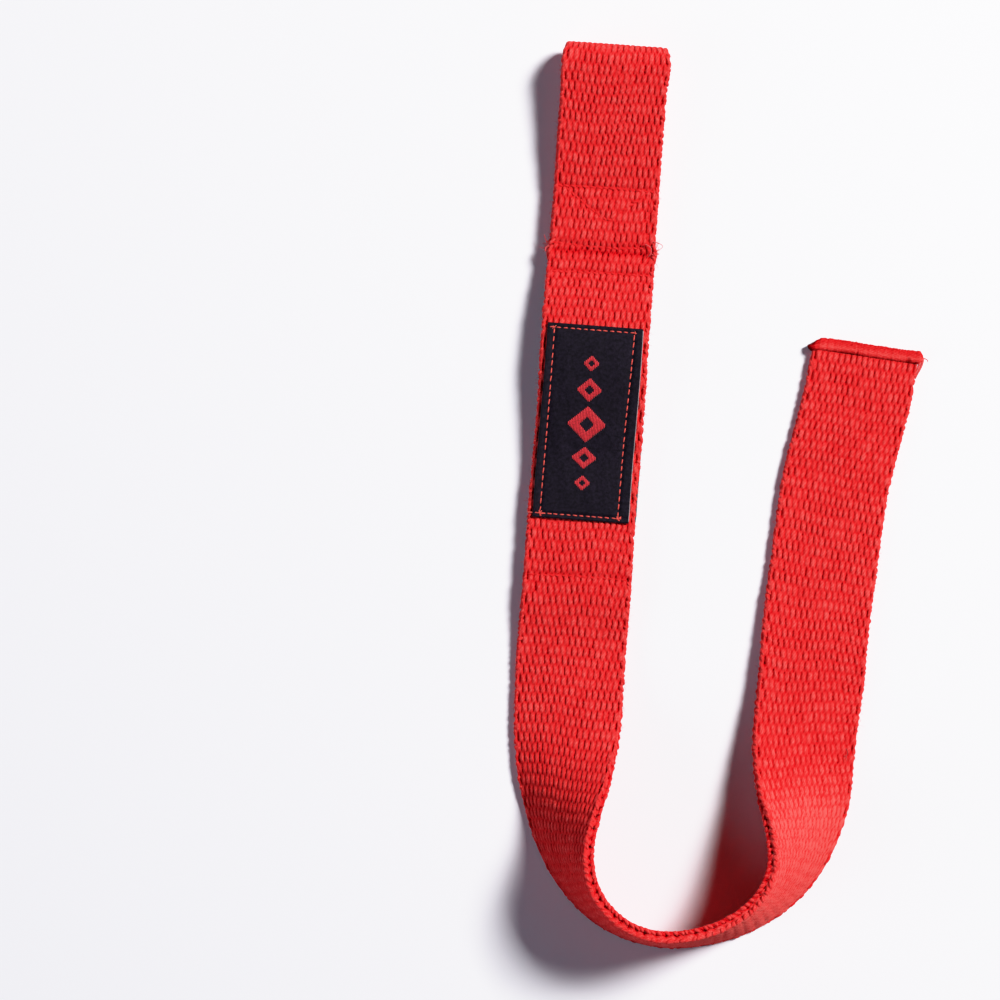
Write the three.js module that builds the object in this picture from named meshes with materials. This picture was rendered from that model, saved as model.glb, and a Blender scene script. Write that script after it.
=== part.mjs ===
// Weightlifting strap: one length of cotton webbing with a sewn end loop and a wrist pad.
// Units are millimetres and +Z is up. The strap lies on the table in a U, as it was put down.
// The loop's leg comes down on the left, the bend stands on its outer edge, and the
// free end's leg goes back up on the right and lies flat.
import * as THREE from 'three';

// Sizes of the strap
const WEBBING_WIDTH = 38;
const WEBBING_THICKNESS = 3.8;
const WEBBING_ROUNDING = 1.5;
const ROUTE_LENGTH = 561;
const LOOP_OPENING = 6.8;
const TUCK_LENGTH = 65;
const LAYER_GAP = 0.35;

// Wrist pad under the webbing, a little way past the tucked end
const PAD_DISTANCE = 6.5;
const PAD_LENGTH = 110.5;
const PAD_INSET = 0.2;
const PAD_THICKNESS = 2.5;
const PAD_ROUNDING = 1.0;
const PAD_SHIFT = 0.8;

// Label on top of the webbing, over the pad
const LABEL_DISTANCE = 20;
const LABEL_LENGTH = 68;
const LABEL_INSET = 2.3;
const LABEL_THICKNESS = 1.0;
const LABEL_ROUNDING = 0.4;
const LABEL_SHIFT = -0.5;

// Overcast bar that closes the free end
const BINDING_OVERHANG = 1.0;
const BINDING_DEPTH = 3.0;
const BINDING_BULGE = 0.4;
const BINDING_ROUNDING = 1.3;

// Fineness of the faceted surfaces
const ROUTE_STEPS = 150;
const TUCK_STEPS = 8;
const FOLD_STEPS = 14;
const PAD_STEPS = 28;
const LABEL_STEPS = 20;
const BINDING_STEPS = 12;
const CORNER_STEPS = 4;
const TRACE_STEPS = 1120;

// How the strap lies, from the loop's fold to its free end.
// along: share of ROUTE_LENGTH.
// heading: degrees in plan, 0 towards -Y and turning towards +X.
// tilt: degrees that the webbing is rolled up onto its outer edge.
// layers: webbing layers under it. pads: pads under it.
// arch: height above what is under it, as a share of LOOP_OPENING.
const ROUTE = [
  { along: 0.00, heading: -4.0, tilt: 0, layers: 1, pads: 0, arch: 1.00 },
  { along: 0.03, heading: -4.0, tilt: 0, layers: 1, pads: 0, arch: 0.65 },
  { along: 0.06, heading: -4.0, tilt: 0, layers: 1, pads: 0, arch: 0.25 },
  { along: 0.08, heading: -4.0, tilt: 0, layers: 1, pads: 0, arch: 0.00 },
  { along: 0.12, heading: -4.0, tilt: 0, layers: 1, pads: 0, arch: 0.00 },
  { along: 0.15, heading: -4.2, tilt: 0, layers: 0, pads: 1, arch: 0.50 },
  { along: 0.18, heading: -4.4, tilt: 0, layers: 0, pads: 1, arch: 0.65 },
  { along: 0.22, heading: -4.4, tilt: 0, layers: 0, pads: 1, arch: 0.30 },
  { along: 0.25, heading: -4.4, tilt: 0, layers: 0, pads: 1, arch: 0.00 },
  { along: 0.33, heading: -4.0, tilt: 0, layers: 0, pads: 1, arch: 0.00 },
  { along: 0.36, heading: -4.0, tilt: 1, layers: 0, pads: 0, arch: 0.10 },
  { along: 0.38, heading: -4.2, tilt: 4, layers: 0, pads: 0, arch: 0.00 },
  { along: 0.41, heading: -5.0, tilt: 12, layers: 0, pads: 0, arch: 0.00 },
  { along: 0.44, heading: -4.0, tilt: 31, layers: 0, pads: 0, arch: 0.00 },
  { along: 0.47, heading: 1.0, tilt: 53, layers: 0, pads: 0, arch: 0.00 },
  { along: 0.50, heading: 18.0, tilt: 69, layers: 0, pads: 0, arch: 0.00 },
  { along: 0.53, heading: 42.0, tilt: 77, layers: 0, pads: 0, arch: 0.00 },
  { along: 0.56, heading: 70.0, tilt: 79, layers: 0, pads: 0, arch: 0.00 },
  { along: 0.59, heading: 94.0, tilt: 77, layers: 0, pads: 0, arch: 0.00 },
  { along: 0.61, heading: 106.0, tilt: 75, layers: 0, pads: 0, arch: 0.00 },
  { along: 0.64, heading: 125.0, tilt: 70, layers: 0, pads: 0, arch: 0.00 },
  { along: 0.67, heading: 150.0, tilt: 60, layers: 0, pads: 0, arch: 0.00 },
  { along: 0.70, heading: 172.0, tilt: 43, layers: 0, pads: 0, arch: 0.00 },
  { along: 0.73, heading: 180.0, tilt: 22, layers: 0, pads: 0, arch: 0.00 },
  { along: 0.77, heading: 176.5, tilt: 9, layers: 0, pads: 0, arch: 0.00 },
  { along: 0.82, heading: 171.0, tilt: 3, layers: 0, pads: 0, arch: 0.00 },
  { along: 0.87, heading: 168.0, tilt: 0, layers: 0, pads: 0, arch: 0.00 },
  { along: 0.94, heading: 169.0, tilt: 0, layers: 0, pads: 0, arch: 0.00 },
  { along: 1.00, heading: 171.5, tilt: 0, layers: 0, pads: 0, arch: 0.00 },
];

const padStart = TUCK_LENGTH + PAD_DISTANCE;
const labelStart = padStart + LABEL_DISTANCE;
const radians = THREE.MathUtils.degToRad;

// Height of the webbing's lowest point above the table at a row of the table
function riseOf(row) {
  const onWebbing = row.layers * (WEBBING_THICKNESS + LAYER_GAP);
  const onPad = row.pads * (PAD_THICKNESS + LAYER_GAP);
  return onWebbing + onPad + row.arch * LOOP_OPENING;
}

// Smooth curve through points that never overshoots them (monotone cubic)
function smoothCurve(xs, ys) {
  const count = xs.length;
  const steps = xs.slice(1).map((x, i) => x - xs[i]);
  const rates = steps.map((step, i) => (ys[i + 1] - ys[i]) / step);
  const slopes = new Array(count).fill(0);
  for (let i = 1; i < count - 1; i += 1) {
    if (rates[i - 1] * rates[i] > 0) {
      const before = 2 * steps[i] + steps[i - 1];
      const after = steps[i] + 2 * steps[i - 1];
      slopes[i] = (before + after) / (before / rates[i - 1] + after / rates[i]);
    }
  }
  slopes[0] = rates[0];
  slopes[count - 1] = rates[count - 2];
  return (x) => {
    let i = 0;
    while (i < count - 2 && x > xs[i + 1]) {
      i += 1;
    }
    const t = (x - xs[i]) / steps[i];
    const rest = 1 - t;
    const low = ys[i] * (1 + 2 * t) + slopes[i] * steps[i] * t;
    const high = ys[i + 1] * (3 - 2 * t) - slopes[i + 1] * steps[i] * rest;
    return rest * rest * low + t * t * high;
  };
}

const distances = ROUTE.map((row) => row.along * ROUTE_LENGTH);
const headingAt = smoothCurve(distances, ROUTE.map((row) => radians(row.heading)));
const tiltAt = smoothCurve(distances, ROUTE.map((row) => radians(row.tilt)));
const riseAt = smoothCurve(distances, ROUTE.map(riseOf));

// Height of the webbing's middle, its rounded lower edge resting at the rise
function heightAt(distance) {
  const tilt = tiltAt(distance);
  const rounding = Math.min(WEBBING_ROUNDING, 0.45 * WEBBING_THICKNESS);
  const halfWidth = WEBBING_WIDTH / 2 - rounding;
  const halfThickness = WEBBING_THICKNESS / 2 - rounding;
  const reach = halfWidth * Math.sin(tilt) + halfThickness * Math.cos(tilt);
  return riseAt(distance) + reach + rounding;
}

// Middle line of the laid webbing, traced from the fold in short steps
const traceStep = ROUTE_LENGTH / TRACE_STEPS;
const trace = [new THREE.Vector3(0, 0, heightAt(0))];
for (let i = 1; i <= TRACE_STEPS; i += 1) {
  const middle = headingAt((i - 0.5) * traceStep);
  const height = heightAt(i * traceStep);
  const climb = height - trace[i - 1].z;
  const run = Math.sqrt(traceStep * traceStep - climb * climb);
  const x = trace[i - 1].x + run * Math.sin(middle);
  const y = trace[i - 1].y - run * Math.cos(middle);
  trace.push(new THREE.Vector3(x, y, height));
}

function pointAt(distance) {
  const place = THREE.MathUtils.clamp(distance / traceStep, 0, TRACE_STEPS);
  const i = Math.min(Math.floor(place), TRACE_STEPS - 1);
  return trace[i].clone().lerp(trace[i + 1], place - i);
}

// A section's place, with the unit vectors across the webbing and out of its upper face
function sectionAt(distance) {
  const ahead = Math.min(distance + traceStep, ROUTE_LENGTH);
  const behind = Math.max(distance - traceStep, 0);
  const forward = pointAt(ahead).sub(pointAt(behind)).normalize();
  const heading = headingAt(distance);
  const tilt = tiltAt(distance);
  const flat = Math.cos(tilt);
  const across = new THREE.Vector3(
    Math.cos(heading) * flat,
    Math.sin(heading) * flat,
    Math.sin(tilt),
  );
  const out = forward.clone().cross(across).normalize();
  return { point: pointAt(distance), forward, across, out, scale: 1 };
}

// Outline of a rounded bar as [across, out] points, anticlockwise about its forward axis
function roundedOutline(width, thickness, wantedRounding, shiftAcross, shiftOut) {
  const rounding = Math.min(wantedRounding, 0.45 * thickness, 0.45 * width);
  const outline = [];
  const corners = [
    { side: 1, top: -1, start: -90 },
    { side: 1, top: 1, start: 0 },
    { side: -1, top: 1, start: 90 },
    { side: -1, top: -1, start: 180 },
  ];
  for (const corner of corners) {
    const middleAcross = corner.side * (width / 2 - rounding) + shiftAcross;
    const middleOut = corner.top * (thickness / 2 - rounding) + shiftOut;
    for (let i = 0; i < CORNER_STEPS; i += 1) {
      const angle = radians(corner.start + (90 * i) / (CORNER_STEPS - 1));
      outline.push([
        middleAcross + rounding * Math.cos(angle),
        middleOut + rounding * Math.sin(angle),
      ]);
    }
  }
  return outline;
}

// Closed solid swept through the sections, with a flat cap at each end
function sweep(sections, outline) {
  const ring = outline.length;
  const positions = [];
  for (const section of sections) {
    for (const [across, out] of outline) {
      const point = section.point.clone();
      point.addScaledVector(section.across, across * section.scale);
      point.addScaledVector(section.out, out * section.scale);
      positions.push(point.x, point.y, point.z);
    }
  }
  const faces = [];
  for (let row = 0; row < sections.length - 1; row += 1) {
    for (let i = 0; i < ring; i += 1) {
      const a = row * ring + i;
      const b = row * ring + ((i + 1) % ring);
      faces.push(a, b, b + ring, a, b + ring, a + ring);
    }
  }
  const last = (sections.length - 1) * ring;
  for (let i = 1; i < ring - 1; i += 1) {
    faces.push(0, i + 1, i);
    faces.push(last, last + i, last + i + 1);
  }
  const geometry = new THREE.BufferGeometry();
  geometry.setAttribute('position', new THREE.Float32BufferAttribute(positions, 3));
  geometry.setIndex(faces);
  geometry.computeVertexNormals();
  return geometry;
}

// Sections evenly spaced between two distances along the route
function sectionsBetween(start, end, steps) {
  const sections = [];
  for (let i = 0; i <= steps; i += 1) {
    sections.push(sectionAt(start + ((end - start) * i) / steps));
  }
  return sections;
}

// The end folded under the loop: it lies on the table and runs back up to the fold
function tuckedSections(foldLine) {
  const sections = [];
  for (let i = 0; i <= TUCK_STEPS; i += 1) {
    const distance = TUCK_LENGTH * (1 - i / TUCK_STEPS);
    const laid = sectionAt(distance);
    const point = foldLine.clone();
    point.x += laid.point.x - trace[0].x;
    point.y += laid.point.y - trace[0].y;
    const out = new THREE.Vector3(0, 0, -1);
    sections.push({ point, across: laid.across, out, scale: 1 });
  }
  return sections;
}

// The round of the fold, between the tucked end and the start of the laid webbing
function foldSections(foldLine, first, pitch, radius) {
  const back = first.forward.clone().setZ(0).normalize().negate();
  const up = new THREE.Vector3(0, 0, 1);
  const sections = [];
  for (let i = 1; i < FOLD_STEPS; i += 1) {
    const angle = ((Math.PI + pitch) * i) / FOLD_STEPS;
    const point = foldLine.clone();
    point.addScaledVector(back, radius * Math.sin(angle));
    point.addScaledVector(up, radius * (1 - Math.cos(angle)));
    const out = back.clone().multiplyScalar(Math.sin(angle));
    out.addScaledVector(up, -Math.cos(angle));
    sections.push({ point, across: first.across, out, scale: 1 });
  }
  return sections;
}

function makeWebbing() {
  const first = sectionAt(0);
  const pitch = Math.asin(-first.forward.z);
  const radius = (first.point.z - WEBBING_THICKNESS / 2) / (1 + Math.cos(pitch));
  const foldLine = first.point.clone();
  const flatForward = first.forward.clone().setZ(0).normalize();
  foldLine.addScaledVector(flatForward, -radius * Math.sin(pitch));
  foldLine.z = WEBBING_THICKNESS / 2;
  const sections = [
    ...tuckedSections(foldLine),
    ...foldSections(foldLine, first, pitch, radius),
    ...sectionsBetween(0, ROUTE_LENGTH, ROUTE_STEPS),
  ];
  const outline = roundedOutline(WEBBING_WIDTH, WEBBING_THICKNESS, WEBBING_ROUNDING, 0, 0);
  return sweep(sections, outline);
}

function makePad() {
  const sections = sectionsBetween(padStart, padStart + PAD_LENGTH, PAD_STEPS);
  const width = WEBBING_WIDTH - 2 * PAD_INSET;
  const below = -(WEBBING_THICKNESS + PAD_THICKNESS) / 2 - LAYER_GAP;
  const outline = roundedOutline(width, PAD_THICKNESS, PAD_ROUNDING, PAD_SHIFT, below);
  return sweep(sections, outline);
}

function makeLabel() {
  const sections = sectionsBetween(labelStart, labelStart + LABEL_LENGTH, LABEL_STEPS);
  const width = WEBBING_WIDTH - 2 * LABEL_INSET;
  const above = (WEBBING_THICKNESS + LABEL_THICKNESS) / 2 + LAYER_GAP;
  const outline = roundedOutline(width, LABEL_THICKNESS, LABEL_ROUNDING, LABEL_SHIFT, above);
  return sweep(sections, outline);
}

// The bar runs across the free end, just past the cut webbing, narrowing at its ends
function makeBinding() {
  const end = sectionAt(ROUTE_LENGTH);
  const length = WEBBING_WIDTH + 2 * BINDING_OVERHANG;
  const thickness = WEBBING_THICKNESS + BINDING_BULGE;
  const middle = end.point.clone();
  middle.addScaledVector(end.forward, LAYER_GAP + BINDING_DEPTH / 2);
  middle.z = thickness / 2;
  const sections = [];
  for (let i = 0; i <= BINDING_STEPS; i += 1) {
    const place = -Math.cos((Math.PI * i) / BINDING_STEPS);
    const point = middle.clone().addScaledVector(end.across, (place * length) / 2);
    const scale = Math.max(Math.pow(1 - place * place, 0.25), 0.5);
    sections.push({ point, across: end.out, out: end.forward, scale });
  }
  const outline = roundedOutline(thickness, BINDING_DEPTH, BINDING_ROUNDING, 0, 0);
  return sweep(sections, outline);
}

function addMesh(group, name, geometry, color, roughness) {
  const material = new THREE.MeshStandardMaterial({ color, roughness, metalness: 0 });
  const mesh = new THREE.Mesh(geometry, material);
  mesh.name = name;
  group.add(mesh);
}

const strap = new THREE.Group();
strap.name = 'weightlifting_strap';
addMesh(strap, 'webbing', makeWebbing(), '#d5282d', 0.95);
addMesh(strap, 'wrist_pad', makePad(), '#1d1b1f', 0.95);
addMesh(strap, 'label', makeLabel(), '#211e27', 0.7);
addMesh(strap, 'end_binding', makeBinding(), '#d02a2e', 0.8);

// Origin at the middle of the strap's footprint, on the table
const box = new THREE.Box3().setFromObject(strap);
const centre = box.getCenter(new THREE.Vector3());
strap.position.set(-centre.x, -centre.y, -box.min.z);
strap.updateMatrixWorld(true);

export default strap;
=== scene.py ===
"""Weightlifting strap: cotton webbing with a sewn end loop, a wrist pad and a woven label.

The strap lies on a pale table in a U. Lengths are in metres, in the frame of the CAD model.
A place on the strap is given by how far along it is, how far across, and how high above
the webbing's middle. Its weave, stitches and threads are worked out from those three.
"""

import math

import bpy
import numpy as np
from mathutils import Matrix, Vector


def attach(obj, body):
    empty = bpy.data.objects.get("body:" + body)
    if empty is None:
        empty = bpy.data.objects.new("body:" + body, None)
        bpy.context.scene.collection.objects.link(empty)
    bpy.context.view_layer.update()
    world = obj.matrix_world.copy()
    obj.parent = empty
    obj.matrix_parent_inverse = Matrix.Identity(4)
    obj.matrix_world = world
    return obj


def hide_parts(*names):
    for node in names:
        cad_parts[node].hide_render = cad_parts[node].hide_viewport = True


bl_info = {
    "name": "Weightlifting strap",
    "version": (1, 0, 0),
    "blender": (4, 5, 0),
    "location": "3D View > Sidebar > Strap",
    "description": "Builds a cotton lifting strap with its pad, label and stitching",
    "category": "Add Mesh",
}

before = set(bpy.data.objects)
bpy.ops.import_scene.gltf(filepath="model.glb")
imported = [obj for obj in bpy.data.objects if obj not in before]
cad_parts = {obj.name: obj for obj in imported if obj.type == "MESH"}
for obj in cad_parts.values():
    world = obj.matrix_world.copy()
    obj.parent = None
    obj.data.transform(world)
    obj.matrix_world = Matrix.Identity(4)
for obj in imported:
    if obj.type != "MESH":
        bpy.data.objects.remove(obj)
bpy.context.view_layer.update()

MM = 0.001

# How the strap lies, from the loop's fold to its free end. Each row holds: share of the
# laid length, heading and tilt in degrees, webbing layers and pads below, and arch.
ROUTE = np.array(
    [
        [0.00, -4.0, 0, 1, 0, 1.00],
        [0.03, -4.0, 0, 1, 0, 0.65],
        [0.06, -4.0, 0, 1, 0, 0.25],
        [0.08, -4.0, 0, 1, 0, 0.00],
        [0.12, -4.0, 0, 1, 0, 0.00],
        [0.15, -4.2, 0, 0, 1, 0.50],
        [0.18, -4.4, 0, 0, 1, 0.65],
        [0.22, -4.4, 0, 0, 1, 0.30],
        [0.25, -4.4, 0, 0, 1, 0.00],
        [0.33, -4.0, 0, 0, 1, 0.00],
        [0.36, -4.0, 1, 0, 0, 0.10],
        [0.38, -4.2, 4, 0, 0, 0.00],
        [0.41, -5.0, 12, 0, 0, 0.00],
        [0.44, -4.0, 31, 0, 0, 0.00],
        [0.47, 1.0, 53, 0, 0, 0.00],
        [0.50, 18.0, 69, 0, 0, 0.00],
        [0.53, 42.0, 77, 0, 0, 0.00],
        [0.56, 70.0, 79, 0, 0, 0.00],
        [0.59, 94.0, 77, 0, 0, 0.00],
        [0.61, 106.0, 75, 0, 0, 0.00],
        [0.64, 125.0, 70, 0, 0, 0.00],
        [0.67, 150.0, 60, 0, 0, 0.00],
        [0.70, 172.0, 43, 0, 0, 0.00],
        [0.73, 180.0, 22, 0, 0, 0.00],
        [0.77, 176.5, 9, 0, 0, 0.00],
        [0.82, 171.0, 3, 0, 0, 0.00],
        [0.87, 168.0, 0, 0, 0, 0.00],
        [0.94, 169.0, 0, 0, 0, 0.00],
        [1.00, 171.5, 0, 0, 0, 0.00],
    ]
)
LAID_LENGTH = 561 * MM
TUCK_LENGTH = 65 * MM
LAYER_GAP = 0.35 * MM
LOOP_OPENING = 6.8 * MM
PAD_THICKNESS = 2.5 * MM
EDGE_ROUNDING = 1.5 * MM
FOLD_PLACE = np.array([-36.635, 149.470]) * MM
TRACE_STEPS = 1120

# Rows of the weave are counted from the cut end. The webbing is made in three stretches.
ROW_PITCH_MM = 3.65
ROW_STEP = 0.2
FIRST_ROW, LEG_ROW, TAIL_ROW, END_ROW = -0.1, 57.5, 117.5, 176.1
NO_YARN = -1.0e3
BEAD_RISE = 0.42 * MM
UV_SCALE = 100
THREAD_OFFSET = 7.3 * MM
FLUFF_COUNT, TUFT_COUNT = 2600, 110

# Places along the laid length, from the loop's fold
PAD_START = 71.5 * MM
PAD_SEAMS = (72.7 * MM, 179.3 * MM)
LABEL_START = 91.5 * MM
LABEL_STITCH = 2.65 * MM
HEM_START, HEM_END = 1.6 * MM, 1.5 * MM


# Settings


def length(name, description, default):
    return bpy.props.FloatProperty(
        name=name, description=description, default=default, min=0.0, unit="LENGTH", precision=5
    )


def colour(name, description, default):
    return bpy.props.FloatVectorProperty(
        name=name, description=description, default=default, size=3, min=0.0, max=1.0, subtype="COLOR"
    )


class StrapSizes(bpy.types.PropertyGroup):
    """Sizes of the strap's webbing, pad, label and thread"""

    width: length("Webbing width", "Width of the cotton webbing", 38 * MM)
    thickness: length("Webbing thickness", "Thickness over the crests of the weave", 3.8 * MM)
    row_pitch: length("Row pitch", "Distance from one row of floats to the next", ROW_PITCH_MM * MM)
    end_pitch: length("Warp pitch", "Distance from one warp yarn to the next", 1.0 * MM)
    float_rise: length("Float rise", "How far a warp yarn rises and sinks as it weaves", 0.38 * MM)
    yarn_bulge: length("Yarn bulge", "How far a warp yarn's round back stands above its sides", 0.75 * MM)
    label_length: length("Label length", "Length of the woven label along the strap", 68 * MM)
    label_width: length("Label width", "Width of the woven label", 33.4 * MM)
    pad_length: length("Pad length", "Length of the wrist pad along the strap", 110.5 * MM)
    pad_width: length("Pad width", "Width of the wrist pad", 37.6 * MM)
    thread: length("Sewing thread", "Thickness of the sewing thread", 0.42 * MM)


class StrapColours(bpy.types.PropertyGroup):
    """Colours of the strap and of the table below it"""

    cotton: colour("Cotton", "Dyed cotton of the webbing", (0.75, 0.033, 0.033))
    # painted shade: the colour down between the yarns stands for the shade in the weave's hollows
    cotton_painted_shade: colour("Cotton between yarns", "Cotton down between the yarns", (0.58, 0.0012, 0.005))
    # paler colour on the crests of the weave: partly their fluff, partly a painted highlight where light
    # catches them
    cotton_crest_highlight: colour("Cotton crests", "Fluffy cotton on the crests of the weave", (0.85, 0.094, 0.086))
    label: colour("Label", "Ground of the woven label", (0.0036, 0.0014, 0.0072))
    motif: colour("Motif", "Raised threads woven into the label", (0.62, 0.010, 0.022))
    thread: colour("Sewing thread", "Thread of the label's running stitch", (0.80, 0.07, 0.05))
    felt: colour("Pad felt", "Felt of the wrist pad", (0.012, 0.010, 0.013))
    floor: colour("Table", "Pale table top", (0.91, 0.914, 0.975))


# The way the strap lies


def smooth_curve(knots, values):
    """Monotone cubic through the knots: harmonic mean slopes inside, the end slopes straight."""
    step = np.diff(knots)
    rate = np.diff(values) / step
    slope = np.zeros(len(knots))
    before = 2 * step[1:] + step[:-1]
    after = step[1:] + 2 * step[:-1]
    same_way = rate[:-1] * rate[1:] > 0
    left = np.where(same_way, rate[:-1], 1.0)
    right = np.where(same_way, rate[1:], 1.0)
    slope[1:-1] = np.where(same_way, (before + after) / (before / left + after / right), 0.0)
    slope[0], slope[-1] = rate[0], rate[-1]

    def curve(place):
        i = np.clip(np.searchsorted(knots, place) - 1, 0, len(step) - 1)
        t = (place - knots[i]) / step[i]
        low = values[i] * (1 + 2 * t) + slope[i] * step[i] * t
        high = values[i + 1] * (3 - 2 * t) - slope[i + 1] * step[i] * (1 - t)
        return (1 - t) ** 2 * low + t**2 * high

    return curve


def unit(vectors):
    return vectors / np.linalg.norm(vectors, axis=-1, keepdims=True)


class StrapPath:
    """Middle line of the whole strap, from the cut end below the loop to the free end.

    along runs through three stretches: the tuck flat on the table, the half turn of the
    fold, and the laid length. Each place has a point and three unit vectors: forward,
    across, and out of the upper face, where out is forward crossed with across.
    """

    def __init__(self, sizes):
        self.sizes = sizes
        width, thickness = sizes.width, sizes.thickness
        knots = ROUTE[:, 0] * LAID_LENGTH
        self.heading = smooth_curve(knots, np.radians(ROUTE[:, 1]))
        self.tilt = smooth_curve(knots, np.radians(ROUTE[:, 2]))
        layers = ROUTE[:, 3] * (thickness + LAYER_GAP)
        pads = ROUTE[:, 4] * (PAD_THICKNESS + LAYER_GAP)
        rise = smooth_curve(knots, layers + pads + ROUTE[:, 5] * LOOP_OPENING)
        self.places = np.linspace(0, LAID_LENGTH, TRACE_STEPS + 1)
        tilt = self.tilt(self.places)
        reach = (width / 2 - EDGE_ROUNDING) * np.sin(tilt)
        reach = reach + (thickness / 2 - EDGE_ROUNDING) * np.cos(tilt)
        height = rise(self.places) + reach + EDGE_ROUNDING
        step = LAID_LENGTH / TRACE_STEPS
        run = np.sqrt(step**2 - np.diff(height) ** 2)
        heading = self.heading(self.places[:-1] + step / 2)
        x = np.concatenate([[0], np.cumsum(run * np.sin(heading))]) + FOLD_PLACE[0]
        y = np.concatenate([[0], np.cumsum(-run * np.cos(heading))]) + FOLD_PLACE[1]
        self.line = np.stack([x, y, height], axis=1)
        point, forward, across, _ = self.laid(np.array([0.0]))
        self.first_across = across[0]
        self.pitch = math.asin(-forward[0, 2])
        self.radius = (point[0, 2] - thickness / 2) / (1 + math.cos(self.pitch))
        flat = unit(forward[0] * [1, 1, 0])
        self.back = -flat
        self.fold_line = point[0] - self.radius * math.sin(self.pitch) * flat
        self.fold_line[2] = thickness / 2
        self.fold_length = self.radius * (math.pi + self.pitch)
        self.laid_start = TUCK_LENGTH + self.fold_length
        self.length = self.laid_start + LAID_LENGTH

    def middle(self, distance):
        """Point of the laid middle line at a distance from the fold."""
        return np.stack([np.interp(distance, self.places, self.line[:, i]) for i in range(3)], axis=-1)

    def laid(self, distance):
        """Point, forward, across and out at a distance from the fold."""
        step = LAID_LENGTH / TRACE_STEPS
        ahead = np.minimum(distance + step, LAID_LENGTH)
        behind = np.maximum(distance - step, 0)
        forward = unit(self.middle(ahead) - self.middle(behind))
        heading, tilt = self.heading(distance), self.tilt(distance)
        across = np.stack(
            [np.cos(heading) * np.cos(tilt), np.sin(heading) * np.cos(tilt), np.sin(tilt)], axis=-1
        )
        return self.middle(distance), forward, across, unit(np.cross(forward, across))

    def at(self, along):
        """Point, forward, across and out at places along the whole strap."""
        along = np.atleast_1d(np.asarray(along, float))
        laid = self.laid(np.clip(along - self.laid_start, 0, LAID_LENGTH))
        tuck = self.laid(np.clip(TUCK_LENGTH - along, 0, LAID_LENGTH))
        angle = np.clip((along - TUCK_LENGTH) / self.radius, 0, math.pi + self.pitch)[:, None]
        up = np.array([0.0, 0.0, 1.0])
        fold_point = self.fold_line + self.radius * (self.back * np.sin(angle) + up * (1 - np.cos(angle)))
        fold_forward = self.back * np.cos(angle) + up * np.sin(angle)
        fold_across = np.broadcast_to(self.first_across, fold_point.shape)
        fold_out = self.back * np.sin(angle) - up * np.cos(angle)
        tuck_point = self.fold_line + (tuck[0] - self.line[0]) * [1, 1, 0]
        tuck_forward = unit(-tuck[1] * [1, 1, 0])
        tuck_out = np.broadcast_to(-up, tuck_point.shape)
        in_tuck = (along < TUCK_LENGTH)[:, None]
        in_laid = (along > self.laid_start)[:, None]
        pairs = [
            (tuck_point, laid[0], fold_point),
            (tuck_forward, laid[1], fold_forward),
            (tuck[2], laid[2], fold_across),
            (tuck_out, laid[3], fold_out),
        ]
        return tuple(np.where(in_tuck, a, np.where(in_laid, b, c)) for a, b, c in pairs)

    def place(self, along, across, high):
        """Points of the row frame for arrays of along, across and high of one shape."""
        along, across, high = np.broadcast_arrays(along, across, high)
        point, _, side, out = self.at(along.ravel())
        flat = point + side * across.reshape(-1, 1) + out * high.reshape(-1, 1)
        return flat.reshape(along.shape + (3,))


def strap_path(context):
    return StrapPath(context.scene.strap_sizes)


# Mesh and number helpers


def drift(x, y, size, seed):
    """Slow random change from about -1 to 1: five sine waves of about one size, seeded."""
    rng = np.random.default_rng(seed)
    total = 0.0
    for _ in range(5):
        turn, start = rng.uniform(0, 2 * math.pi, 2)
        rate = 2 * math.pi * rng.uniform(0.5, 1.4) / size
        total = total + np.sin(rate * (x * math.cos(turn) + y * math.sin(turn)) + start)
    return total / 2.6


def ease(value):
    """Smooth step from 0 to 1."""
    value = np.clip(value, 0, 1)
    return value * value * (3 - 2 * value)


def bell(value, middle, reach):
    """Bell curve: 1 at its middle, falling off over its reach to either side."""
    return np.exp(-(((value - middle) / reach) ** 2))


def ring_faces(rows, ring):
    """Quads of a tube of closed rings, facing outwards when the rings turn anticlockwise."""
    row = np.arange(rows - 1)[:, None] * ring
    a = np.arange(ring)[None, :]
    b = (a + 1) % ring
    return np.stack([row + a, row + b, row + b + ring, row + a + ring], axis=-1).reshape(-1, 4)


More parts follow.
